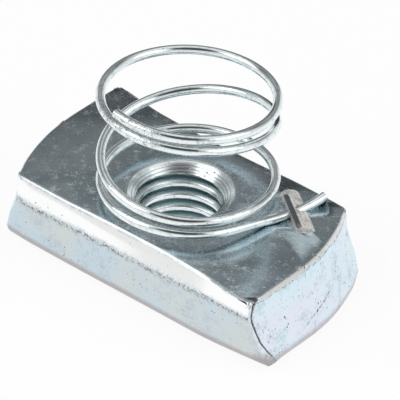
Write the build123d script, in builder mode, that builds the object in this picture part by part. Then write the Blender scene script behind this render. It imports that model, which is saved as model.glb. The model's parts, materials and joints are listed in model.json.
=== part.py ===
"""Channel nut with its coil spring, for a bolt into a slotted steel strut.

The origin is on the axis of the tapped hole, in the clamping face that the nut stands on here.
+X runs along the nut, +Y across it and +Z up to the spring. All sizes are in millimetres.
"""

import os
from math import cos, radians, sin

from build123d import *

# Nut blank: a bar with a sloped shoulder along each long side, cut off by two swinging ends
nut_thickness = 7.9
nut_half_width = 9.8
foot_draft = 0.15
shoulder_width = 0.95
shoulder_drop = 2.3
stop_reach = 20.0
straight_length = 5.8
straight_lean = 0.25
swing_relief = 4.3
end_taper = 10.5
bottom_round = 0.9
swing_corner_round = 0.8
stop_corner_round = 0.3

# Tapped hole, M10 x 1.5, drawn at its minor diameter
thread_minor_diameter = 8.5
countersink_diameter = 11.0
countersink_angle = 90.0

# Spring, measured to the wire's centre; heights are above the crown of the nut
wire_diameter = 1.0
coil_radius = 8.82
coil_centre_x = 1.0
coil_centre_y = -0.1
total_turns = 3.25
closed_pitch = 1.1
open_pitch = 9.8
seat_pitch = 5.0
foot_turns = 1.03
open_turns = 0.86
pitch_blend = 0.3
coil_start_height = 0.95
lean_drop = 0.7
lean_shift = 0.25
lean_direction = 60.0
points_per_turn = 12
heading_step = 0.001

# Tail of the spring, which runs straight from the coil and is pressed into the crown
tail_direction = 78.5
tail_to_ridge = 6.5
tail_past_ridge = 4.2
staked_height = 0.1
tail_end_height = 0.55
wire_clearance = 0.03

# Ridge that is staked up over the tail: a narrow crest, upright in front and sloped behind
ridge_direction = -34.2
ridge_height = 0.7
crest_width = 0.54
crest_start = -2.3
ridge_width = 2.3
ridge_start = -3.7
ridge_end = 3.4
ridge_root = 0.2


def ramp(turn, start, width):
    """Integral of a step at start that rises evenly over width turns."""
    past = turn - start
    if past <= 0:
        return 0.0
    if past < width:
        return past**2 / (2 * width)
    return past - width / 2


def wire_height(turn):
    """Height of the wire's centre above the crown, a number of turns up from the tail."""
    settle = (closed_pitch - seat_pitch) * ramp(turn, 0, pitch_blend)
    opening = ramp(turn, foot_turns, pitch_blend)
    closing = ramp(turn, foot_turns + open_turns, pitch_blend)
    climb = (open_pitch - closed_pitch) * (opening - closing)
    return coil_start_height + seat_pitch * turn + settle + climb


def coil_point(turn):
    """Centre of the wire, a number of turns up from the tail, with the spring's slight lean."""
    angle = radians(tail_direction - 90 - 360 * turn)
    leaning = radians(lean_direction)
    risen = turn / total_turns
    height = nut_thickness + wire_height(turn) - lean_drop * risen * cos(angle - leaning)
    x = coil_centre_x + coil_radius * cos(angle) + lean_shift * risen * cos(leaning)
    y = coil_centre_y + coil_radius * sin(angle) + lean_shift * risen * sin(leaning)
    return Vector(x, y, height)


def tail_point(distance, height):
    """Point on the straight tail, at a distance from the coil and a height above the crown."""
    start = coil_point(0)
    heading = radians(tail_direction)
    x = start.X + distance * cos(heading)
    y = start.Y + distance * sin(heading)
    return Vector(x, y, nut_thickness + height)


def arc_chain(points, heading):
    """Route of arcs from point to point, each tangent to the last, that starts along heading."""
    with BuildLine() as route:
        for start, end in zip(points, points[1:]):
            heading = TangentArc(start, end, tangent=heading) % 1
    return route.line


def end_outline():
    """Edges of the foot's ends: straight in from each stop corner, then an arc to the swing corner."""
    stop = Vector(stop_reach, -nut_half_width)
    straight = stop + Vector(-straight_lean, straight_length)
    swing = Vector(stop_reach - swing_relief, nut_half_width)
    with BuildLine() as outline:
        for turn in (0, 180):
            start = (straight + (stop - straight) * 2).rotate(Axis.Z, turn)
            run = Line(start, straight.rotate(Axis.Z, turn))
            arc = TangentArc(run @ 1, swing.rotate(Axis.Z, turn), tangent=run % 1)
            past = Line(arc @ 1, arc @ 1 + (arc % 1) * nut_half_width)
            Line(past @ 1, -start)
    return outline.edges()


def corner_edges(blank, swing):
    """Upright edges at the two rounded swing corners, or at the two crisp stop corners."""
    upright = blank.edges().filter_by(lambda edge: abs((edge @ 0).Z - (edge @ 1).Z) > bottom_round)
    middles = [(edge, edge @ 0.5) for edge in upright]
    return [
        edge
        for edge, middle in middles
        if abs(middle.Y) > crown_half_width and (middle.X * middle.Y > 0) == swing
    ]


def bullet(start, end, width):
    """Edges of an outline along a sketch's X, round at its start, front edge on the crest's."""
    front = -crest_width / 2
    radius = width / 2
    with BuildLine() as outline:
        Line((end, front), (start, front))
        ThreePointArc((start, front), (start - radius, front + radius), (start, front + width))
        Line((start, front + width), (end, front + width))
        Line((end, front + width), (end, front))
    return outline.edges()


# Route of the wire, from where the coil meets the tail: up the coil, and out along the tail
steps = round(total_turns * points_per_turn)
coil_points = [coil_point(total_turns * i / steps) for i in range(steps + 1)]
coil_heading = coil_point(heading_step) - coil_point(0)
tail_length = tail_to_ridge + tail_past_ridge
tail_points = [
    coil_point(0),
    tail_point(tail_to_ridge / 2, (coil_start_height + staked_height) / 2),
    tail_point(tail_to_ridge, staked_height),
    tail_point(tail_length, tail_end_height),
]
coil_route = arc_chain(coil_points, coil_heading)
tail_route = arc_chain(tail_points, -coil_heading)

# The ridge stands where the tail crosses it, turned across the wire
ridge_heading = Vector(cos(radians(ridge_direction)), sin(radians(ridge_direction)))
ridge_origin = tail_point(tail_to_ridge, 0)
ridge_plane = Plane(origin=ridge_origin, x_dir=ridge_heading, z_dir=(0, 0, 1))

# Half widths of the blank at its two faces
foot_half_width = nut_half_width - foot_draft
crown_half_width = nut_half_width - shoulder_width

# Spring: one round wire
with BuildPart() as spring:
    with BuildLine() as wire_route:
        add(coil_route)
        add(tail_route)
    with BuildSketch(Plane(origin=wire_route.line @ 0, z_dir=wire_route.line % 0)):
        Circle(wire_diameter / 2)
    sweep(path=wire_route.line)
spring.part.label = "spring"

# Nut body: the bar's section, its shoulders sloping in to the crown
with BuildPart() as nut_body:
    with BuildSketch(Plane.YZ):
        with BuildLine():
            Polyline(
                (-foot_half_width, 0),
                (foot_half_width, 0),
                (nut_half_width, nut_thickness - shoulder_drop),
                (crown_half_width, nut_thickness),
                (-crown_half_width, nut_thickness),
                (-nut_half_width, nut_thickness - shoulder_drop),
                close=True,
            )
        make_face()
    extrude(amount=2 * stop_reach, both=True)

    # Ends: sheared so that the nut can swing round in the channel, and narrower at the crown
    with BuildSketch(Plane.XY):
        make_face(end_outline())
    extrude(amount=nut_thickness, taper=end_taper, mode=Mode.INTERSECT)

    # Rounds: the rolled edge of the foot, the crisp stop corners and the softer swing corners
    fillet(nut_body.faces().sort_by(Axis.Z)[0].edges(), bottom_round)
    fillet(corner_edges(nut_body, swing=False), stop_corner_round)
    fillet(corner_edges(nut_body, swing=True), swing_corner_round)

    # Hole for the thread, countersunk from both faces
    with Locations((0, 0, nut_thickness), Location((0, 0, 0), (180, 0, 0))):
        CounterSinkHole(
            thread_minor_diameter / 2,
            countersink_diameter / 2,
            counter_sink_angle=countersink_angle,
        )

    # Staked ridge over the tail: a bullet-shaped root drawn in to a narrow upright crest
    ridge_foot = ridge_plane.offset(-ridge_root)
    with BuildSketch(ridge_foot):
        make_face(bullet(ridge_start, ridge_end, ridge_width))
    with BuildSketch(ridge_plane.offset(ridge_height)):
        make_face(bullet(crest_start, ridge_end, crest_width))
    loft(ruled=True)

    # Bed that the tail presses into the crown and through the ridge
    with BuildSketch(Plane(origin=tail_route @ 0, z_dir=tail_route % 0)):
        Circle(wire_diameter / 2 + wire_clearance)
    sweep(path=tail_route, mode=Mode.SUBTRACT)
nut_body.part.label = "nut_body"

os.makedirs("parts", exist_ok=True)
for piece in (nut_body.part, spring.part):
    export_step(piece, f"parts/{piece.label}.step")
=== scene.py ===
"""Looks of a strut spring nut: a zinc-plated channel nut with a coil spring staked to its crown.

Every length is in metres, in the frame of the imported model: the origin is on the axis of the tapped hole,
in the clamping face, with +X along the nut and +Z up to the spring.
"""

import json
import logging
import math
from dataclasses import dataclass, field
from enum import Enum
from functools import cached_property

import bmesh
import bpy
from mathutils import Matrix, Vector

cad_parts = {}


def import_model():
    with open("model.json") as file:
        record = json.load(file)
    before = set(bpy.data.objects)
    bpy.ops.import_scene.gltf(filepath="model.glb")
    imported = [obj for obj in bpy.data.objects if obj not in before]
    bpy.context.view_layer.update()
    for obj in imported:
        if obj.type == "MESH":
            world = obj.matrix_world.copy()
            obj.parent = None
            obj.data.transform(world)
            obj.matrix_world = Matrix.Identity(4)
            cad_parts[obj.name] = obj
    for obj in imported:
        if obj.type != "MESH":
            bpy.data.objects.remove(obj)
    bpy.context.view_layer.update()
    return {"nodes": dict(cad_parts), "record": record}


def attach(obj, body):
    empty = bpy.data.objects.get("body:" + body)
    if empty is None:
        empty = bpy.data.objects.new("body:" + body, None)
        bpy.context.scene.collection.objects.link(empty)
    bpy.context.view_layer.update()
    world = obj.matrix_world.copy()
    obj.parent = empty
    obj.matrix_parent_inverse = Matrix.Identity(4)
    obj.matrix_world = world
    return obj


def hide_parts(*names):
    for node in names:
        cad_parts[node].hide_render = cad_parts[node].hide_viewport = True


log = logging.getLogger("strut_spring_nut")

MM = 0.001
# Corners closer than WELD join, and heights closer than SLACK count as one.
WELD = 1e-7
SLACK = 1e-6
# Mesh layer that marks the crease beside each stop corner for painted shade.
CREASE_SHADE = "crease_shade"
LEVEL = "level"

Colour = tuple[float, float, float]
Socket = bpy.types.NodeSocket
Mesh = bmesh.types.BMesh
Corner = bmesh.types.BMVert
Edge = bmesh.types.BMEdge
Face = bmesh.types.BMFace
Layer = bmesh.types.BMLayerItem

# Colour of the real specks, pits, scars and worn lines, also used for the painted shade in the creases.
MARKS_AND_CREASE_SHADE: Colour = (0.095, 0.080, 0.072)
FRINGE: Colour = (0.56, 0.66, 0.72)
CROWN_GLOW: Colour = (0.52, 0.59, 0.63)
TORN_LIP: Colour = (0.76, 0.71, 0.66)
# Colour of the painted shade on the foot's rolled edge.
ROLLED_FOOT_SHADE: Colour = (0.43, 0.39, 0.40)
FOOT_CORNER_DARK: Colour = (0.40, 0.37, 0.37)
THREAD_ROOT: Colour = (0.17, 0.28, 0.30)
TOOL_MARK: Colour = (0.26, 0.31, 0.32)
GRIP_MARK: Colour = (0.15, 0.12, 0.11)
# Repeats or cells per metre, and heights, of what all finishes share.
WAVE_SCALE = 420.0
WAVE_DEPTH = 3e-6
GRAIN_SCALE = 6000.0
RING_SCALE = 3600.0
SPECK_CELLS = 2700.0
PIT_CELLS = 900.0
MARK_AND_SHADE_DEPTH = 2.0e-5


class Finish(Enum):
    """Surfaces of the nut body, in the order of its material slots."""

    CROWN = 0
    SHOULDER = 1
    FLANK = 2
    END = 3
    TAPPED = 4
    STAKED = 5
    CREST = 6


@dataclass(frozen=True)
class Pattern:
    """Noise, read between two of its levels.

    Attributes:
        scale: Repeats per metre.
        detail: Number of finer layers.
        roughness: Strength of the finer layers.
        low: Level of the noise at which the pattern starts.
        high: Level at which it ends.
        start: Result at the start.
        end: Result at the end.
    """

    scale: float
    detail: float
    roughness: float
    low: float = 0.0
    high: float = 1.0
    start: float = 0.0
    end: float = 1.0


DRIFT = Pattern(160.0, 2.0, 0.55, 0.40, 0.62)
CLUSTERS = Pattern(380.0, 2.0, 0.55, 0.42, 0.62, 0.15, 1.0)
RAGGED_CREASE_SHADE = Pattern(2600.0, 4.0, 0.70, 0.35, 0.65, 0.55, 1.25)
BROKEN_LINE = Pattern(3800.0, 3.0, 0.70, 0.46, 0.60, 0.0, 0.85)
BROKEN_LIP = Pattern(3200.0, 3.0, 0.70, 0.34, 0.56, 0.25, 0.90)
BROKEN_TEAR = Pattern(2600.0, 3.0, 0.70, 0.40, 0.56, 0.10, 1.60)
DULL_WIRE = Pattern(1400.0, 5.0, 0.65, 0.52, 0.72)
GRIP_SCARS = Pattern(3600.0, 4.0, 0.70, 0.52, 0.60, 0.0, 0.65)
LEVEL_WANDER = Pattern(1500.0, 5.0, 0.75, start=-0.6 * MM, end=0.6 * MM)
LINE_WANDER = Pattern(520.0, 5.0, 0.70, start=-0.45 * MM, end=0.45 * MM)
TEAR_WANDER = Pattern(900.0, 4.0, 0.70, end=0.8 * MM)
FOOT_WANDER = Pattern(900.0, 4.0, 0.70, end=0.5 * MM)
FOOT_CORNER_WANDER = Pattern(1900.0, 4.0, 0.75, end=3.2 * MM)
RING_WANDER = Pattern(700.0, 3.0, 0.55, end=0.12 * MM)


def held(share: float) -> float:
    """Returns a share, held between 0 and 1."""
    return min(max(share, 0.0), 1.0)


def smooth_step(value: float, low: float, high: float) -> float:
    """Returns 0 below low, 1 above high and an even rise between, for either order of the two."""
    share = held((value - low) / (high - low))
    return share * share * (3 - 2 * share)


class Graph:
    """Short-hand for the nodes of one material or world."""

    def __init__(self, tree: bpy.types.NodeTree, coordinates: str = "Object") -> None:
        """Empties a node tree and keeps it.

        Args:
            tree: Node tree to fill.
            coordinates: Blender's name of the coordinates that its patterns read.
        """
        self.tree = tree
        self.coordinates = coordinates
        self.tree.nodes.clear()

    def add(self, kind: str, *values: object, **settings: object) -> bpy.types.Node:
        """Adds a node, and gives each input a value or the output that it is joined to.

        Args:
            kind: Blender's name of the node type.
            *values: The node's first inputs, in their order.
            **settings: Its properties, and other inputs named with underscores for spaces.

        Returns:
            The new node.
        """
        node = self.tree.nodes.new(kind)
        inputs = list(zip(node.inputs, values))
        for key, value in settings.items():
            socket = node.inputs.get(key.replace("_", " "))
            if socket is None:
                setattr(node, key, value)
            else:
                inputs.append((socket, value))
        for socket, value in inputs:
            if isinstance(value, Socket):
                self.tree.links.new(value, socket)
            else:
                socket.default_value = value
        return node

    @cached_property
    def place(self) -> Socket:
        """Returns the coordinates that the patterns read."""
        return self.add("ShaderNodeTexCoord").outputs[self.coordinates]

    def part(self, axis: str) -> Socket:
        """Returns the X, Y or Z part of the place."""
        return self.add("ShaderNodeSeparateXYZ", self.place).outputs[axis]

    def noise(self, scale: float, detail: float = 3.0, roughness: float = 0.55) -> Socket:
        """Adds a noise pattern.

        Args:
            scale: Repeats per metre.
            detail: Number of finer layers.
            roughness: Strength of the finer layers.

        Returns:
            The pattern, from 0 to 1.
        """
        sockets = {"Vector": self.place, "Scale": scale, "Detail": detail, "Roughness": roughness}
        return self.add("ShaderNodeTexNoise", **sockets).outputs["Fac"]

    def spread(
        self, value: Socket, low: float, high: float, to_low: float = 0.0, to_high: float = 1.0
    ) -> Socket:
        """Maps one range of a value to another, held at its ends.

        Args:
            value: Value to map.
            low: Start of the range read.
            high: End of the range read.
            to_low: Result at the start.
            to_high: Result at the end.

        Returns:
            The mapped value.
        """
        return self.add("ShaderNodeMapRange", value, low, high, to_low, to_high).outputs["Result"]

    def pattern(self, pattern: Pattern) -> Socket:
        """Adds a noise pattern, read between two of its levels."""
        noise = self.noise(pattern.scale, pattern.detail, pattern.roughness)
        return self.spread(noise, pattern.low, pattern.high, pattern.start, pattern.end)

    def maths(self, operation: str, first: Socket, second: Socket | float) -> Socket:
        """Combines two values by an operation of Blender's."""
        return self.add("ShaderNodeMath", first, second, operation=operation).outputs["Value"]

    def times(self, first: Socket, second: Socket | float) -> Socket:
        """Returns the product of two values."""
        return self.maths("MULTIPLY", first, second)

    def plus(self, first: Socket, second: Socket | float) -> Socket:
        """Returns the sum of two values."""
        return self.maths("ADD", first, second)

    def most(self, first: Socket, second: Socket | float) -> Socket:
        """Returns the larger of two values."""
        return self.maths("MAXIMUM", first, second)

    def band(self, value: Socket, middle: float, width: float) -> Socket:
        """Returns 1 where a value is at the middle of a band, falling to 0 at its edges."""
        away = self.maths("ABSOLUTE", self.plus(value, -middle), 0.0)
        return self.spread(away, 0.0, width / 2, 1.0, 0.0)

    def versus(self, operation: str, fixed: Vector) -> bpy.types.Node:
        """Combines the place and a fixed vector by an operation of Blender's."""
        return self.add("ShaderNodeVectorMath", self.place, fixed, operation=operation)

    def toward(self, axis: Vector) -> Socket:
        """Returns how far the place lies along an axis."""
        return self.versus("DOT_PRODUCT", axis).outputs["Value"]

    def reach(self, centre: Vector) -> Socket:
        """Returns the distance of the place from a fixed point."""
        return self.versus("DISTANCE", centre).outputs["Value"]

    def from_axis(self) -> Socket:
        """Returns the distance of the place from the Z axis."""
        flat = self.versus("MULTIPLY", Vector((1.0, 1.0, 0.0))).outputs["Vector"]
        return self.add("ShaderNodeVectorMath", flat, operation="LENGTH").outputs["Value"]

    def rings(self, scale: float) -> Socket:
        """Adds a pattern of rings about the Z axis, spaced down a wall that slopes to it.

        Args:
            scale: Repeats per metre.

        Returns:
            The pattern, from 0 to 1.
        """
        along = self.plus(self.plus(self.from_axis(), self.part("Z")), self.pattern(RING_WANDER))
        sockets = {"W": along, "Scale": scale, "Detail": 3.0, "Roughness": 0.6}
        return self.add("ShaderNodeTexNoise", noise_dimensions="1D", **sockets).outputs["Fac"]

    def specks(self, scale: float, share: float, radius: float) -> Socket:
        """Adds scattered specks, one at most in each cell.

        Args:
            scale: Cells per metre.
            share: Share of the cells that hold a speck.
            radius: Radius of a speck, as a share of a cell.

        Returns:
            The pattern, 1 in a speck and 0 outside.
        """
        cells = self.add("ShaderNodeTexVoronoi", Vector=self.place, Scale=scale, Randomness=1.0)
        chosen = self.spread(cells.outputs["Color"], 1 - share, 1.02 - share)
        spot = self.spread(cells.outputs["Distance"], 0.6 * radius, 1.4 * radius, 1.0, 0.0)
        return self.times(chosen, spot)

    def blend(self, share: Socket, first: Socket | Colour, second: Socket | Colour) -> Socket:
        """Mixes two colours.

        Args:
            share: Share of the second colour.
            first: Colour at a share of 0.
            second: Colour at a share of 1.

        Returns:
            The mixed colour.
        """
        node = self.add("ShaderNodeMix", share, data_type="RGBA")
        for socket, colour in ((node.inputs[6], first), (node.inputs[7], second)):
            if isinstance(colour, tuple):
                socket.default_value = (*colour, 1.0)
            else:
                self.tree.links.new(colour, socket)
        return node.outputs[2]

    def relief(self, height: Socket, depth: float, below: Socket | None = None) -> Socket:
        """Turns a pattern into relief of the surface.

        Args:
            height: Pattern, from 0 to 1.
            depth: Height of the relief.
            below: Normal that the relief is laid on.

        Returns:
            The normal.
        """
        node = self.add("ShaderNodeBump", Strength=1.0, Distance=depth, Height=height)
        if below is not None:
            self.tree.links.new(below, node.inputs["Normal"])
        return node.outputs["Normal"]

    def metal(self, colour: Socket, rough: Socket, normal: Socket, metallic: float = 1.0) -> None:
        """Wires a metal shader to the output.

        Args:
            colour: Colour of the metal.
            rough: Roughness of the metal.
            normal: Normal of the surface.
            metallic: Share of bare metal in the surface.
        """
        sockets = {"Base Color": colour, "Roughness": rough, "Normal": normal, "Metallic": metallic}
        shader = self.add("ShaderNodeBsdfPrincipled", **sockets)
        self.add("ShaderNodeOutputMaterial", shader.outputs[0])


class Dressing(Graph):
    """The nodes of one material."""

    def __init__(self, name: str) -> None:
        """Makes an empty node material.

        Args:
            name: Name of the material.
        """
        self.material = bpy.data.materials.new(name)
        self.material.use_nodes = True
        super().__init__(self.material.node_tree)


def add_object(name: str, data: bpy.types.ID) -> bpy.types.Object:
    """Adds an object to the scene.

    Args:
        name: Name of the object.
        data: Its mesh, camera or lamp.

    Returns:
        The object.
    """
    item = bpy.data.objects.new(name, data)
    bpy.context.scene.collection.objects.link(item)
    return item


def add_mesh(name: str, shape: Mesh) -> bpy.types.Object:
    """Adds an object with a mesh to the scene, and frees the mesh that it came from.

    Args:
        name: Name of the object and its mesh.
        shape: Mesh in the making.

    Returns:
        The object.
    """
    mesh = bpy.data.meshes.new(name)
    shape.to_mesh(mesh)
    shape.free()
    return add_object(name, mesh)


@dataclass(frozen=True)
class PlatedSteel:
    """Zinc plate over steel, as one process leaves it.

    Attributes:
        name: Name of the finish.
        light: Colour of the clean plate.
        drift: Second colour that the clean plate drifts to.
        dark: Colour of the dull patches.
        mottle: Patches per metre.
        patchiness: Share of the surface that the dull patches reach, from 0 to 1.
        smooth: Roughness of the clean plate.
        dull: Roughness of the dull patches.
        grain_depth: Height of the fine grain.
        speck_share: Share of the speck cells that hold a dark speck.
        pit_share: Share of the pit cells that hold a pit.
        worn_drop: How far below the crown a worn line runs.
        worn_width: Width of the worn line, or 0 for none.
        foot_shade: How far painted shade darkens the rolled edge of the foot, from 0 to 1.
        root_shade: How far the roots of the thread darken, from 0 to 1.
        turned: Height of the rings that a cutting tool leaves round the hole.
        fringe: Height over which the plate gives way raggedly to its neighbours'.
        lip: Depth of the pale ragged lip under the crown's edge.
        scarred: Whether the surface bears the marks of shearing.
        metallic: Share of bare metal in the surface.
        edge: Radius that the shading gives to edges.
    """

    name: str
    light: Colour
    drift: Colour
    dark: Colour
    mottle: float = 450.0
    patchiness: float = 0.5
    smooth: float = 0.22
    dull: float = 0.4
    grain_depth: float = 2e-6
    speck_share: float = 0.0
    pit_share: float = 0.0
    worn_drop: float = 0.0
    worn_width: float = 0.0
    foot_shade: float = 0.0
    root_shade: float = 0.0
    turned: float = 0.0
    fringe: float = 0.0
    lip: float = 0.0
    scarred: bool = False
    metallic: float = 1.0
    edge: float = 1.0e-4


class Coat(Dressing):
    """The nodes of one finish of the nut, and the colour that they give so far."""

    def __init__(self, finish: PlatedSteel, top: float) -> None:
        """Lays the clean plate.

        Args:
            finish: Values of the finish.
            top: Height of the crown.
        """
        super().__init__(finish.name)
        self.finish = finish
        self.top = top
        self.height = self.part("Z")
        self.level = self.attribute(LEVEL)
        self.colour = self.blend(self.pattern(DRIFT), finish.light, finish.drift)

    def attribute(self, name: str) -> Socket:
        """Returns a value that the mesh carries at its corners."""
        return self.add("ShaderNodeAttribute", attribute_name=name).outputs["Fac"]

    def lay(self, share: Socket, colour: Colour) -> None:
        """Lays a colour over the others, by its share of the surface."""
        self.colour = self.blend(share, self.colour, colour)

    def build(self) -> bpy.types.Material:
        """Lays the layers in their order and joins them to the shader.

        Returns:
            The material.
        """
        finish = self.finish
        dulled = self.patches()
        self.lay(dulled, finish.dark)
        if finish.fringe:
            self.fade()
        if finish.lip:
            self.tear_lip()
        marks_and_shade = self.marks_and_shade()
        self.lay(marks_and_shade, MARKS_AND_CREASE_SHADE)
        if finish.foot_shade:
            self.darken_foot()
        if finish.root_shade:
            self.shade_roots()

        normal = self.add("ShaderNodeBevel", samples=4, Radius=finish.edge).outputs["Normal"]
        normal = self.relief(self.noise(WAVE_SCALE, 2.0), WAVE_DEPTH, normal)
        normal = self.relief(self.noise(GRAIN_SCALE, 4.0, 0.6), finish.grain_depth, normal)
        normal = self.relief(self.spread(marks_and_shade, 0.0, 1.0, 1.0, 0.0), MARK_AND_SHADE_DEPTH, normal)
        if finish.turned:
            rings = self.rings(RING_SCALE)
            self.score(rings)
            normal = self.relief(rings, finish.turned, normal)
        rough = self.spread(dulled, 0.0, 1.0, finish.smooth, finish.dull)
        rough = self.most(rough, self.spread(marks_and_shade, 0.0, 1.0, 0.0, 0.6))
        self.metal(self.colour, rough, normal, finish.metallic)
        return self.material

    def patches(self) -> Socket:
        """Adds the dull patches.

        Returns:
            The pattern, 1 in the patches.
        """
        mottle = self.finish.mottle
        coarse = self.times(self.noise(mottle, 6.0, 0.68), 0.62)
        fine = self.times(self.noise(5.5 * mottle, 3.0, 0.6), 0.38)
        start = 0.60 - 0.22 * self.finish.patchiness
        return self.spread(self.plus(coarse, fine), start, start + 0.13)

    def ragged(self) -> Socket:
        """Returns the level, made uneven so that a line drawn by it comes out ragged."""
        return self.plus(self.level, self.pattern(LEVEL_WANDER))

    def fade(self) -> None:
        """Lets the plate give way raggedly to its neighbours' above and below."""
        ragged, fringe = self.ragged(), self.finish.fringe
        base = self.top - self.finish.worn_drop
        self.lay(self.spread(ragged, base, base + fringe, 0.9, 0.0), FRINGE)
        above = self.spread(ragged, self.top - 0.4 * fringe, self.top + 0.1 * MM, 0.0, 0.8)
        self.lay(above, CROWN_GLOW)

    def tear_lip(self) -> None:
        """Lays the pale broken lip under the crown's edge."""
        base = self.top - self.finish.lip
        lip = self.spread(self.ragged(), base - 0.1 * MM, base + 0.1 * MM)
        self.lay(self.times(lip, self.pattern(BROKEN_LIP)), TORN_LIP)

    def darken_foot(self) -> None:
        """Paints shade on the rolled edge of the foot, and darkens a round patch at each of its two stop
        corners.
        """
        uneven = self.plus(self.height, self.pattern(FOOT_WANDER))
        # Painted shade on the rolled edge of the foot, which faces the floor.
        self.lay(self.spread(uneven, 1.15 * MM, 1.65 * MM, self.finish.foot_shade, 0.0), ROLLED_FOOT_SHADE)
        # Darkens a round patch at each stop corner near the foot.
        wander = self.pattern(FOOT_CORNER_WANDER)
        for side in (-1, 1):
            stop_corner = Vector((19.4 * side, -8.6 * side, 0.6)) * MM
            away = self.plus(self.reach(stop_corner), wander)
            self.lay(self.spread(away, 2.4 * MM, 3.4 * MM, 0.9, 0.0), FOOT_CORNER_DARK)

    def shade_roots(self) -> None:
        """Darkens the roots of the thread, where little light reaches."""
        deep = self.spread(self.from_axis(), 4.32 * MM, 4.75 * MM, 0.0, self.finish.root_shade)
        below = self.spread(self.height, self.top - 1.0 * MM, self.top - 0.7 * MM, 1.0, 0.0)
        self.lay(self.times(deep, below), THREAD_ROOT)

    def score(self, rings: Socket) -> None:
        """Lays the marks that the cutting tool left in the upper countersink.

        Args:
            rings: Pattern of the tool's rings.
        """
        mouth = self.spread(self.height, self.top - 1.2 * MM, self.top - 0.9 * MM)
        marks = self.spread(rings, 0.38, 0.46, 0.7, 0.0)
        self.lay(self.times(marks, mouth), TOOL_MARK)

    def marks_and_shade(self) -> Socket:
        """Gathers the painted shade along the creases, and the real specks, pits, scars and the worn line.

        Returns:
            The pattern, 1 where the surface is dark.
        """
        finish = self.finish
        # Painted shade along the crease beside each stop corner.
        crease_shade = self.times(self.attribute(CREASE_SHADE), self.pattern(RAGGED_CREASE_SHADE))
        marks_and_shade = self.spread(crease_shade, 0.09, 0.40, 0.0, 0.92)
        clusters = self.pattern(CLUSTERS)
        spots = ((SPECK_CELLS, finish.speck_share, 0.20), (PIT_CELLS, finish.pit_share, 0.13))
        for cells, share, radius in spots:
            if share:
                marks_and_shade = self.most(marks_and_shade, self.times(self.specks(cells, share, radius), clusters))
        if finish.scarred:
            marks_and_shade = self.most(marks_and_shade, self.scars())
        if finish.worn_width:
            line = self.plus(self.level, self.pattern(LINE_WANDER))
            band = self.band(line, self.top - finish.worn_drop, finish.worn_width)
            marks_and_shade = self.most(marks_and_shade, self.times(band, self.pattern(BROKEN_LINE)))
        return marks_and_shade

    def scars(self) -> Socket:
        """Adds the torn line and the cluster of pits that shearing left on each end.

        Returns:
            The pattern, 1 where the surface is dark.
        """
        end = self.maths("SIGN", self.part("X"), 0.0)
        across = self.times(self.part("Y"), end)
        wander = self.pattern(TEAR_WANDER)
        line = self.maths("SUBTRACT", self.plus(self.height, wander), self.times(across, 0.3))
        middle = self.band(across, -0.2 * MM, 6.4 * MM)
        tear = self.times(self.band(line, 3.2 * MM, 0.26 * MM), middle)
        tear = self.times(tear, self.pattern(BROKEN_TEAR))
        column = self.band(self.plus(across, self.times(wander, 0.6)), -4.9 * MM, 1.3 * MM)
        cluster = self.times(column, self.band(self.height, 3.0 * MM, 5.0 * MM))
        cluster = self.spread(cluster, 0.10, 0.40)
        pocks = self.times(self.specks(2600.0, 0.62, 0.26), cluster)
        return self.most(tear, pocks)


@dataclass(frozen=True)
class TappedHole:
    """Through hole along Z with a right-handed 60 degree thread, countersunk from both faces.

    Attributes:
        minor_radius: Radius at the thread's crests.
        major_radius: Radius at the thread's roots.
        pitch: Pitch of the thread.
        mouth_radius: Radius of the countersinks at the faces.
        mouth_spread: How much a countersink widens towards its face for each unit of height.
        lip: Depth over which each countersink rounds over into its face.
        lead_angle: Turn of the thread about the hole's axis, in degrees.
        sides: Faces round the hole.
        rows: Rows of faces down the hole.
    """

    minor_radius: float = 4.25 * MM
    major_radius: float = 5.0 * MM
    pitch: float = 1.5 * MM
    mouth_radius: float = 5.50 * MM
    mouth_spread: float = 1.25
    lip: float = 0.30 * MM
    lead_angle: float = -163.0
    sides: int = 144
    rows: int = 140

    def radius(self, angle: float, height: float, thickness: float) -> float:
        """Returns the hole's radius where the countersinks and the thread have cut it.

        Args:
            angle: Direction about the hole's axis, in radians.
            height: Height above the clamping face.
            thickness: Thickness of the nut.

        Returns:
            The radius.
        """
        turn = (angle - math.radians(self.lead_angle)) / math.tau
        along = (height / self.pitch - turn) % 1.0
        root_flat = self.pitch / 8
        from_root = max(abs(along - 0.5) * self.pitch - root_flat / 2, 0.0)
        groove = self.major_radius - from_root / math.tan(math.radians(30))
        depth = min(height, thickness - height)
        near = max(1 - depth / self.lip, 0.0)
        flare = (1 - math.sqrt(1 - near**2)) * self.lip / 2
        return max(self.minor_radius, groove, self.mouth_radius - self.mouth_spread * depth + flare)

    def carve(self, shape: Mesh, thickness: float) -> None:
        """Adds the wall of the hole to a mesh, with the finish of the tapped surface.

        Args:
            shape: Mesh of the nut.
            thickness: Thickness of the nut.
        """
        heights = [thickness * row / self.rows for row in range(self.rows + 1)]
        rail = [shape.verts.new((self.mouth_radius, 0, height)) for height in heights]
        spine = [shape.edges.new(pair) for pair in zip(rail, rail[1:])]
        before = set(shape.faces)
        turn = {"cent": (0, 0, 0), "axis": (0, 0, 1), "angle": math.tau, "steps": self.sides}
        bmesh.ops.spin(shape, geom=rail + spine, use_merge=True, **turn)
        wall = [face for face in shape.faces if face not in before]
        for face in wall:
            face.material_index = Finish.TAPPED.value
        for corner in {corner for face in wall for corner in face.verts}:
            angle = math.atan2(corner.co.y, corner.co.x)
            radius = self.radius(angle, corner.co.z, thickness)
            corner.co.x = radius * math.cos(angle)
            corner.co.y = radius * math.sin(angle)


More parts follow.
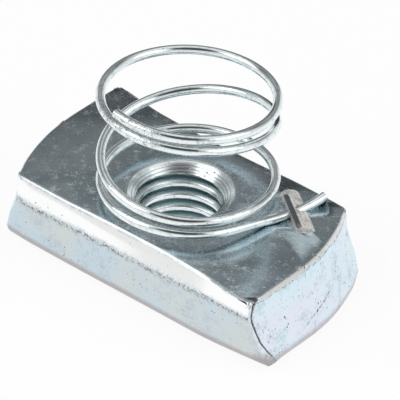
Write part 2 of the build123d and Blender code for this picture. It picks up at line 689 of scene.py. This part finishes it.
@dataclass
class NutBody:
    """The blank with its tapped hole, staked ridge and sheared ends.

    Attributes:
        thickness: Height of the crown above the clamping face.
        node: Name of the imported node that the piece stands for.
        hole: The tapped hole.
        slice: Distance between the cuts that let the blank bend.
        shoulder_drop: How far below the crown the flanks begin.
        shoulder_width: How far each shoulder slopes in.
        crown_spread: How far the crown's long edges swing out at their ends.
        foot_round: Radius of the rounding along the foot.
        foot_draw: How far the foot is drawn in at the stop corners.
        swing_ease: How far the shoulder gives way at the swing corners.
        crease: Distance of the crease beside each stop corner from the flank.
        crease_width: Half the width of that crease.
        crease_depth: Depth of that crease.
        crease_sweep: How far the crease swings away from the corner at the foot.
        bulge: How far each end swells towards its swing corner.
        end_lean: How much further in the crown's ends lie than sheared.
        corner_waist: How far each stop corner draws back at half its height.
        stop_spread: How much more the crown's edge swings out at the stop corners.
        shoulder_lift: How far the foot of the shoulder rises towards the stop corners.
        shoulder_sag: How far it sinks towards the swing corners.
        roll: Rings of the crown's rolled edge, as inset and drop.
        ring_merge: Distance under which corners of the last ring join.
        end_cuts: Distances from the flank of more cuts down each end's stop side.
        end_zone: Distance from the middle beyond which a face can belong to an end.
        crest: Height above the crown at which the ridge's crest begins.
        shape: Mesh in the making.
    """

    thickness: float
    node: str = "nut_body"
    hole: TappedHole = TappedHole()
    slice: float = 1.0 * MM
    shoulder_drop: float = 2.3 * MM
    shoulder_width: float = 0.95 * MM
    crown_spread: float = 0.42 * MM
    foot_round: float = 0.9 * MM
    foot_draw: float = 1.3 * MM
    swing_ease: float = 0.6 * MM
    crease: float = 0.42 * MM
    crease_width: float = 0.28 * MM
    crease_depth: float = 0.24 * MM
    crease_sweep: float = 1.3 * MM
    bulge: float = 0.32 * MM
    end_lean: float = 0.4 * MM
    corner_waist: float = 0.5 * MM
    stop_spread: float = 0.3 * MM
    shoulder_lift: float = 0.6 * MM
    shoulder_sag: float = 0.4 * MM
    roll: tuple[tuple[float, float], ...] = (
        (-0.04 * MM, 0.22 * MM),
        (0.09 * MM, 0.07 * MM),
        (0.28 * MM, 0.0),
    )
    ring_merge: float = 0.10 * MM
    end_cuts: tuple[float, ...] = (1.2 * MM, 2.0 * MM, 3.4 * MM)
    end_zone: float = 15.0 * MM
    crest: float = 0.69 * MM
    shape: Mesh = field(default_factory=bmesh.new)

    def build(self, node: bpy.types.Object) -> bpy.types.Object:
        """Builds the piece.

        Args:
            node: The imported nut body.

        Returns:
            The piece, dressed.
        """
        shape = self.shape
        shape.from_mesh(node.data)
        for name in (CREASE_SHADE, LEVEL):
            shape.verts.layers.float.new(name)
        bmesh.ops.remove_doubles(shape, verts=shape.verts, dist=WELD)
        for face in shape.faces:
            face.material_index = Finish.CROWN.value
        self.open_faces()
        self.cut_slices()
        self.press_crease()
        self.bend()
        self.roll_edge()
        self.hole.carve(shape, self.thickness)
        self.close_faces()
        bmesh.ops.recalc_face_normals(shape, faces=shape.faces)
        self.assign()
        piece = add_mesh("nut_body_plated", shape)
        piece.data.shade_smooth()
        piece.data.set_sharp_from_angle(angle=math.radians(32))
        for finish in Finish:
            piece.data.materials.append(Coat(FINISHES[finish], self.thickness).build())
        return piece

    def layer(self, name: str) -> Layer:
        """Returns one of the layers of values at the mesh's corners."""
        return self.shape.verts.layers.float[name]

    def half_width(self) -> float:
        """Returns half the width of the blank."""
        return max(corner.co.y for corner in self.shape.verts)

    def shoulder(self) -> float:
        """Returns the height of the shoulder's lower edge."""
        return self.thickness - self.shoulder_drop

    def shoulder_slope(self) -> float:
        """Returns the angle of the shoulder from upright, in radians."""
        return math.atan2(self.shoulder_width, self.shoulder_drop)

    def open_faces(self) -> None:
        """Takes out the two flat faces and the plain hole between them."""
        low = [corner.co.xy.length for corner in self.shape.verts if corner.co.z < SLACK]
        mouth = max(length for length in low if length < self.hole.mouth_radius + 0.5 * MM)
        gone = []
        for face in self.shape.faces:
            heights = [corner.co.z for corner in face.verts]
            crown = all(abs(height - self.thickness) < SLACK for height in heights)
            plain = all(corner.co.xy.length < mouth + SLACK for corner in face.verts)
            if crown or plain or max(heights) < SLACK:
                gone.append(face)
        bmesh.ops.delete(self.shape, geom=gone, context="FACES")

    def cut_slices(self) -> None:
        """Cuts the skin along and across, so that it can bend."""
        reach = max(corner.co.x for corner in self.shape.verts)
        width = self.half_width()
        for step in range(-int(reach / self.slice), int(reach / self.slice) + 1):
            self.cut(self.shape.faces[:], Vector((step * self.slice, 0, 0)), Vector((1, 0, 0)))
        for step in range(1, int(self.thickness / self.slice)):
            self.cut(self.shape.faces[:], Vector((0, 0, step * self.slice)), Vector((0, 0, 1)))
        for side in (-1, 1):
            for inset in (self.crease - self.crease_width, self.crease, self.crease + self.crease_width):
                self.cut_beside_corner(side, inset, width)
            for inset in self.end_cuts:
                self.cut(self.stop_end(side), Vector((0, side * (width - inset), 0)), Vector((0, 1, 0)))

    def cut_beside_corner(self, side: int, inset: float, width: float) -> None:
        """Cuts an end along a line that runs beside its stop corner, past the flank and the shoulder.

        Args:
            side: Side of the nut that the stop corner is on, -1 or 1.
            inset: Distance of the line from the flank and the shoulder.
            width: Half the width of the nut.
        """
        slope = self.shoulder_slope()
        turn = self.shoulder() - inset * math.tan(slope / 2)
        self.cut(self.stop_end(side), Vector((0, 0, turn)), Vector((0, 0, 1)))
        mitre = Vector((0, side * (width - inset), turn))
        low = [face for face in self.stop_end(side) if face.calc_center_median().z < turn]
        self.cut(low, mitre, Vector((0, 1, 0)))
        high = [face for face in self.stop_end(side) if face.calc_center_median().z > turn]
        self.cut(high, mitre, Vector((0, side * math.cos(slope), math.sin(slope))))

    def cut(self, faces: list[Face], place: Vector, normal: Vector) -> None:
        """Cuts some faces of the mesh along a plane.

        Args:
            faces: The faces.
            place: Point of the plane.
            normal: Normal of the plane.
        """
        edges = dict.fromkeys(edge for face in faces for edge in face.edges)
        geom = [*self.corners(faces), *edges, *faces]
        bmesh.ops.bisect_plane(self.shape, geom=geom, dist=WELD, plane_co=place, plane_no=normal)

    @staticmethod
    def corners(faces: list[Face]) -> list[Corner]:
        """Returns the corners of some faces, each once and in order."""
        return list(dict.fromkeys(corner for face in faces for corner in face.verts))

    def stop_end(self, side: int) -> list[Face]:
        """Finds the faces of the end whose stop corner lies on one side of the nut.

        Args:
            side: The side, -1 or 1.

        Returns:
            The faces.
        """
        self.shape.normal_update()
        return [
            face
            for face in self.shape.faces
            if face.normal.x * side < -0.25 and face.calc_center_median().x * side < -self.end_zone
        ]

    def press_crease(self) -> None:
        """Presses a crease into each end beside its stop corner, and marks it for a painted shade line."""
        crease_shade = self.layer(CREASE_SHADE)
        width = self.half_width()
        slope = self.shoulder_slope()
        turn = self.shoulder() - self.crease * math.tan(slope / 2)
        for corner in self.shape.verts:
            side = math.copysign(1, corner.co.y)
            line = width - self.crease - max(corner.co.z - turn, 0.0) * math.tan(slope)
            if abs(abs(corner.co.y) - line) < 2e-6 and corner.co.x * side < -self.end_zone:
                fade = smooth_step(corner.co.z, self.thickness, self.thickness - 0.6 * MM)
                corner.co.x += side * self.crease_depth * (0.3 + 0.7 * fade)
                # Marks the crease for the painted shade along it.
                corner[crease_shade] = 1.0
        for side in (-1, 1):
            for corner in self.corners(self.stop_end(side)):
                under = max(self.foot_round - corner.co.z, 0.0)
                foot = self.foot_round - math.sqrt(max(self.foot_round**2 - under**2, 0.0))
                gap = (width - foot - side * corner.co.y) / MM
                share = smooth_step(gap, 0.15, 0.42) * smooth_step(gap, 3.4, 0.7)
                corner.co.y -= side * self.crease_sweep * share * smooth_step(corner.co.z / MM, 2.8, 0.3)

    def skin(self) -> set[Corner]:
        """Finds the outer skin, which no longer joins the ridge, the bed or the hole.

        Returns:
            Its corners.
        """
        reached = {max(self.shape.verts, key=lambda corner: corner.co.x)}
        found: set[Corner] = set()
        while reached:
            corner = reached.pop()
            found.add(corner)
            reached |= {edge.other_vert(corner) for edge in corner.link_edges} - found
        return found

    def bend(self) -> None:
        """Gives the blank the uneven outline of a pressed part, the same when turned half round."""
        level = self.layer(LEVEL)
        shoulder = self.shoulder()
        for corner in self.skin():
            x, y, z = corner.co
            corner[level] = z
            end, side = math.copysign(1, x), math.copysign(1, y)
            far, along, out = abs(x) / MM, -side * x / MM, side * y / MM
            up = held((z - shoulder) / self.shoulder_drop)
            swell = smooth_step(end * y / MM, -5.0, 2.5) * smooth_step(far, 12.5, 15.0)
            corner.co.x += end * self.bulge * swell * (1 - 0.4 * up)
            corner.co.x -= end * self.end_lean * smooth_step(far, 9.0, 14.0) * z / self.thickness
            if out < 5.5:
                continue
            waist = smooth_step(z / MM, 0.6, 4.5) * (1 - up)
            waist *= smooth_step(out, 6.0, 9.4) * smooth_step(along, 12, 17)
            corner.co.x -= end * self.corner_waist * waist
            swing = min(abs(along - 5) / 12, 1.0) ** 1.6 * self.crown_spread - 0.03 * MM
            swing += self.stop_spread * smooth_step(along, 11, 18.5)
            low = held((shoulder - 0.6 * MM - z) / (5 * MM))
            drawn = 0.25 * smooth_step(along, -12, 12) + 0.75 * held((along - 10) / 9.5) ** 1.5
            draw = self.foot_draw * low * drawn * smooth_step(out, 6.0, 9.3)
            ease = self.swing_ease * smooth_step(along, -12.5, -15.6) * smooth_step(out, 7.0, 9.4)
            ease *= 0.3 + 0.7 * max(1 - abs(z - shoulder) / (2.6 * MM), 0.0)
            corner.co.y += side * (swing * up * smooth_step(out, 8.2, 8.8) - draw - 0.7 * ease)
            corner.co.x += side * -0.7 * ease
            lift = self.shoulder_lift * smooth_step(along, 0, 18)
            lift -= self.shoulder_sag * smooth_step(along, 0, -16)
            lift *= (1 - up) * smooth_step(z, 1.5 * MM, shoulder) * smooth_step(out, 6.5, 8.6)
            corner.co.z += lift

    def roll_edge(self) -> None:
        """Rolls the crown's outer edge over, ring by ring, from the skin to the flat of the crown."""
        rim = self.outer_rim()
        inward = self.inward(rim)
        start = {corner: corner.co.copy() for corner in inward}
        (first_inset, first_drop), *rings = self.roll
        for corner, way in inward.items():
            corner.co += way * first_inset - Vector((0, 0, first_drop))
        for inset, drop in rings:
            made = bmesh.ops.extrude_edge_only(self.shape, edges=rim)["geom"]
            fresh = {self.key(item.co): item for item in made if isinstance(item, Corner)}
            moved = {corner: fresh[self.key(corner.co)] for corner in inward}
            for corner, copy in moved.items():
                copy.co = start[corner] + inward[corner] * inset - Vector((0, 0, drop))
            ring = set(moved.values())
            rim = [item for item in made if isinstance(item, Edge) and ring.issuperset(item.verts)]
            start = {moved[corner]: start[corner] for corner in moved}
            inward = {moved[corner]: inward[corner] for corner in moved}
        bmesh.ops.remove_doubles(self.shape, verts=list(inward), dist=self.ring_merge)

    @staticmethod
    def key(place: Vector) -> tuple[int, int, int]:
        """Returns a place to the nearest tenth of a micrometre, for finding copies of a corner."""
        return tuple(round(part * 1e7) for part in place)

    def open_edges(self, height: float) -> list[Edge]:
        """Finds the open edges that lie at one height.

        Args:
            height: The height.

        Returns:
            The edges, in the order of the mesh.
        """
        return [
            edge
            for edge in self.shape.edges
            if edge.is_boundary and all(abs(corner.co.z - height) < SLACK for corner in edge.verts)
        ]

    def outer_rim(self) -> list[Edge]:
        """Walks the loop round the crown.

        Returns:
            Its edges.
        """
        waiting = dict.fromkeys(self.open_edges(self.thickness))
        reached = [max(waiting, key=lambda edge: abs(edge.verts[0].co.x))]
        rim = []
        while reached:
            edge = reached.pop()
            if edge in waiting:
                del waiting[edge]
                rim.append(edge)
                reached += [near for corner in edge.verts for near in corner.link_edges]
        return rim

    @staticmethod
    def inward(rim: list[Edge]) -> dict[Corner, Vector]:
        """Finds the way in from both edges at each corner of a loop.

        Args:
            rim: Edges of the loop.

        Returns:
            The way in, by corner.
        """
        ways: dict[Corner, list[Vector]] = {}
        for edge in rim:
            first, second = (corner.co for corner in edge.verts)
            run = second - first
            way = Vector((-run.y, run.x, 0)).normalized()
            if way.dot(first + second) > 0:
                way.negate()
            for corner in edge.verts:
                ways.setdefault(corner, []).append(way)
        joined = {corner: sum(pair, Vector()) / len(pair) for corner, pair in ways.items()}
        return {corner: way / max(way.length_squared, 0.5) for corner, way in joined.items()}

    def close_faces(self) -> None:
        """Fills the two flat faces again, round the hole, the ridge and the tail's bed."""
        for height in (0.0, self.thickness):
            rim = self.open_edges(height)
            bmesh.ops.triangle_fill(self.shape, use_beauty=True, edges=rim, normal=(0, 0, 1))

    def assign(self) -> None:
        """Gives each face the finish of the process that made it."""
        self.shape.normal_update()
        for face in self.shape.faces:
            if face.material_index != Finish.TAPPED.value:
                face.material_index = self.finish(face).value

    def finish(self, face: Face) -> Finish:
        """Chooses the finish of one face, by where it lies and which way it faces.

        Args:
            face: The face.

        Returns:
            Its finish.
        """
        height = face.calc_center_median().z
        level = self.layer(LEVEL)
        if height > self.thickness + self.crest:
            return Finish.CREST
        if height > self.thickness + 0.005 * MM:
            return Finish.STAKED
        if abs(face.normal.z) > 0.9:
            return Finish.CROWN
        if abs(face.normal.x) > 0.6:
            return Finish.END
        if min(corner[level] for corner in face.verts) > self.shoulder() - 1e-5:
            return Finish.SHOULDER
        return Finish.FLANK


FINISHES: dict[Finish, PlatedSteel] = {
    Finish.CROWN: PlatedSteel(
        "crown_plate",
        light=(0.44, 0.53, 0.57), drift=(0.52, 0.60, 0.64), dark=(0.76, 0.84, 0.88),
        mottle=750.0, patchiness=0.40, smooth=0.20, dull=0.46, grain_depth=7e-6, speck_share=0.30,
    ),
    # The shoulder is the same plate as the flank; its pure white is a painted highlight.
    Finish.SHOULDER: PlatedSteel(
        "shoulder_plate_painted_highlight",
        light=(1.0, 1.0, 1.0), drift=(0.99, 1.0, 1.0), dark=(0.93, 0.95, 0.96),
        patchiness=0.15, smooth=0.14, dull=0.2, speck_share=0.18, pit_share=0.10,
        worn_drop=2.3 * MM, worn_width=0.8 * MM, fringe=0.55 * MM, edge=3.0e-4,
    ),
    Finish.FLANK: PlatedSteel(
        "flank_plate",
        light=(0.58, 0.69, 0.76), drift=(0.64, 0.69, 0.69), dark=(0.52, 0.60, 0.66),
        patchiness=0.42, speck_share=0.26, pit_share=0.16, worn_drop=2.35 * MM, worn_width=1.0 * MM,
        foot_shade=0.85, edge=3.0e-4,
    ),
    Finish.END: PlatedSteel(
        "end_plate",
        light=(0.70, 0.86, 0.94), drift=(0.78, 0.82, 0.92), dark=(0.55, 0.68, 0.73),
        mottle=560.0, speck_share=0.34, pit_share=0.24, worn_drop=0.5 * MM,
        worn_width=0.35 * MM, foot_shade=0.7, lip=0.42 * MM, scarred=True,
    ),
    Finish.TAPPED: PlatedSteel(
        "tapped_plate",
        light=(0.94, 0.99, 1.0), drift=(0.88, 0.95, 0.97), dark=(0.68, 0.77, 0.79),
        mottle=900.0, patchiness=0.45, smooth=0.16, dull=0.30, speck_share=0.30, root_shade=0.85,
        turned=1.6e-5, metallic=0.92, edge=4.0e-5,
    ),
    Finish.STAKED: PlatedSteel(
        "staked_steel",
        light=(0.98, 0.97, 0.94), drift=(0.88, 0.86, 0.82), dark=(0.46, 0.44, 0.41),
        mottle=1100.0, patchiness=0.62, smooth=0.45, dull=0.65, grain_depth=5e-6, speck_share=0.4,
        metallic=0.2,
    ),
    # The crest's dark grey is painted shade, for the shadowed strip along the ridge.
    Finish.CREST: PlatedSteel(
        "crest_painted_shade",
        light=(0.26, 0.28, 0.30), drift=(0.21, 0.23, 0.25), dark=(0.13, 0.14, 0.16),
        smooth=0.35, dull=0.55,
    ),
}


@dataclass(frozen=True)
class DrawnWire:
    """Bright plate on drawn spring wire, with the marks of the tool that gripped its free end.

    Attributes:
        colour: Colour of the plate.
        shade: Colour of the drawing marks.
        smooth: Roughness of the plate.
        grip: Middle of the gripped stretch.
        grip_reach: Half the length of that stretch.
    """

    colour: Colour = (0.86, 0.92, 0.93)
    shade: Colour = (0.52, 0.60, 0.62)
    smooth: float = 0.09
    grip: Vector = Vector((0.5 * MM, -8.6 * MM, 20.6 * MM))
    grip_reach: float = 5.6 * MM

    def material(self) -> bpy.types.Material:
        """Builds the finish as a node material.

        Returns:
            The material.
        """
        graph = Dressing("drawn_wire_plate")
        dulled = graph.pattern(DULL_WIRE)
        colour = graph.blend(dulled, self.colour, self.shade)
        away = graph.reach(self.grip)
        near = graph.spread(away, 0.5 * self.grip_reach, self.grip_reach, 1.0, 0.0)
        scars = graph.pattern(GRIP_SCARS)
        flecks = graph.times(graph.specks(2400.0, 0.12, 0.2), 0.7)
        scarred = graph.most(graph.times(near, scars), flecks)
        colour = graph.blend(scarred, colour, GRIP_MARK)
        rough = graph.spread(dulled, 0.0, 1.0, self.smooth, self.smooth + 0.16)
        rough = graph.most(rough, graph.spread(scarred, 0.0, 1.0, 0.0, 0.5))
        normal = graph.relief(graph.noise(2200.0, 3.0), 2.5e-6)
        normal = graph.relief(graph.spread(scarred, 0.0, 1.0, 1.0, 0.0), 1.5e-5, normal)
        graph.metal(colour, rough, normal)
        return graph.material


@dataclass
class Studio:
    """Camera, floor, world and lamps.

    Attributes:
        aim: Point that the camera looks at.
        azimuth: Direction of the camera, in degrees, from -Y towards +X.
        elevation: Height of the camera, in degrees.
        distance: Distance of the camera from the aim.
        lens: Focal length on a 36 mm sensor, in millimetres.
        dim: Brightness of the dark wall behind the object.
        pale_band: How much brighter the wall is half-way up.
        floor_drop: Depth of the floor below the clamping face.
        lamp_side: Length of each lamp's side.
    """

    aim: Vector
    azimuth: float = 43.0
    elevation: float = 35.0
    distance: float = 0.4
    lens: float = 357.62
    dim: float = 0.05
    pale_band: float = 0.42
    floor_drop: float = 0.02 * MM
    lamp_side: float = 0.40

    def build(self) -> None:
        """Builds the whole studio."""
        self.camera()
        self.floor()
        self.world()
        self.lamps()

    def sight(self, elevation: float) -> Vector:
        """Finds the direction from the object to the camera's side.

        Args:
            elevation: Height of the direction, in degrees.

        Returns:
            The direction.
        """
        turn, rise = math.radians(self.azimuth), math.radians(elevation)
        flat = math.cos(rise)
        return Vector((flat * math.sin(turn), -flat * math.cos(turn), math.sin(rise)))

    def camera(self) -> None:
        """Adds the camera and makes it the scene's own."""
        away = self.sight(self.elevation)
        data = bpy.data.cameras.new("camera")
        data.lens = self.lens
        data.sensor_width = 36.0
        data.clip_start = 0.01
        camera = add_object("camera", data)
        camera.location = self.aim + away * self.distance
        camera.rotation_euler = (-away).to_track_quat("-Z", "Y").to_euler()
        bpy.context.scene.camera = camera

    def floor(self) -> None:
        """Adds the pale floor, which shows white but keeps the shadow."""
        shape = bmesh.new()
        bmesh.ops.create_grid(shape, x_segments=1, y_segments=1, size=3.0)
        bmesh.ops.translate(shape, verts=shape.verts, vec=(0, 0, -self.floor_drop))
        floor = add_mesh("floor", shape)
        graph = Dressing("floor_white")
        path = graph.add("ShaderNodeLightPath")
        matte = graph.add("ShaderNodeBsdfDiffuse", Color=(0.9, 0.9, 0.9, 1.0))
        glow = graph.add("ShaderNodeEmission", Color=(1.0, 1.0, 1.0, 1.0), Strength=1.05)
        seen = graph.most(path.outputs["Is Camera Ray"], path.outputs["Is Glossy Ray"])
        seen = graph.most(seen, path.outputs["Is Transmission Ray"])
        share = graph.times(seen, 0.85)
        mix = graph.add("ShaderNodeMixShader", share, matte.outputs[0], glow.outputs[0])
        graph.add("ShaderNodeOutputMaterial", mix.outputs[0])
        floor.data.materials.append(graph.material)

    def world(self) -> None:
        """Makes a white surround with a dark wall behind the object and a dim patch round the camera."""
        world = bpy.data.worlds.new("studio")
        bpy.context.scene.world = world
        world.use_nodes = True
        graph = Graph(world.node_tree, "Generated")
        rise = graph.part("Z")
        behind = graph.toward(-self.sight(0.0))
        low = graph.times(graph.spread(behind, 0.84, 0.94), graph.spread(rise, 0.0, 0.10))
        wall = graph.most(graph.spread(rise, 0.28, 0.46), low)
        wall = graph.times(wall, graph.spread(rise, 0.70, 0.86, 1.0, 0.0))
        wall = graph.times(wall, graph.spread(behind, 0.05, 0.35))
        near = graph.spread(graph.toward(self.sight(50.0)), 0.82, 0.93, 0.0, 0.95)
        bright = graph.spread(graph.most(wall, near), 0.0, 1.0, 1.0, self.dim)
        pale = graph.times(graph.band(rise, 0.56, 0.42), graph.times(wall, self.pale_band))
        path = graph.add("ShaderNodeLightPath")
        bright = graph.most(graph.plus(bright, pale), path.outputs["Is Camera Ray"])
        ground = graph.add("ShaderNodeBackground", Strength=bright)
        graph.add("ShaderNodeOutputWorld", ground.outputs[0])

    def lamps(self) -> None:
        """Adds two soft square lamps that face the object."""
        for name, place, power in (
            ("key", Vector((-0.25, -0.35, 0.45)), 0.6),
            ("fill", Vector((0.45, 0.10, 0.35)), 0.4),
        ):
            data = bpy.data.lights.new(name, "AREA")
            data.shape = "SQUARE"
            data.size = self.lamp_side
            data.energy = power
            lamp = add_object(name, data)
            lamp.location = place
            lamp.rotation_euler = (self.aim - place).to_track_quat("-Z", "Y").to_euler()


def crown_height(record: dict) -> float:
    """Returns the height of the crown, which is twice that of the middle of the thread."""
    thread = next(mount for mount in record["mounts"] if mount["name"] == "thread")
    return 2 * thread["pos_m"][2]


def main() -> None:
    """Builds the classes in order and reports each piece."""
    logging.basicConfig(level=logging.INFO, format="%(name)s: %(message)s")
    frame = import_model()
    thickness = crown_height(frame["record"])
    bpy.context.scene.view_settings.view_transform = "Standard"
    Studio(aim=Vector((2.54 * MM, 0.09 * MM, thickness))).build()

    nut = NutBody(thickness)
    body = nut.build(frame["nodes"][nut.node])
    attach(body, "root")
    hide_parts(nut.node)
    log.info("%s: %d faces", body.name, len(body.data.polygons))

    spring = frame["nodes"]["spring"]
    spring.data.materials.clear()
    spring.data.materials.append(DrawnWire().material())
    log.info("%s: %d faces", spring.name, len(spring.data.polygons))


if __name__ == "__main__":
    main()
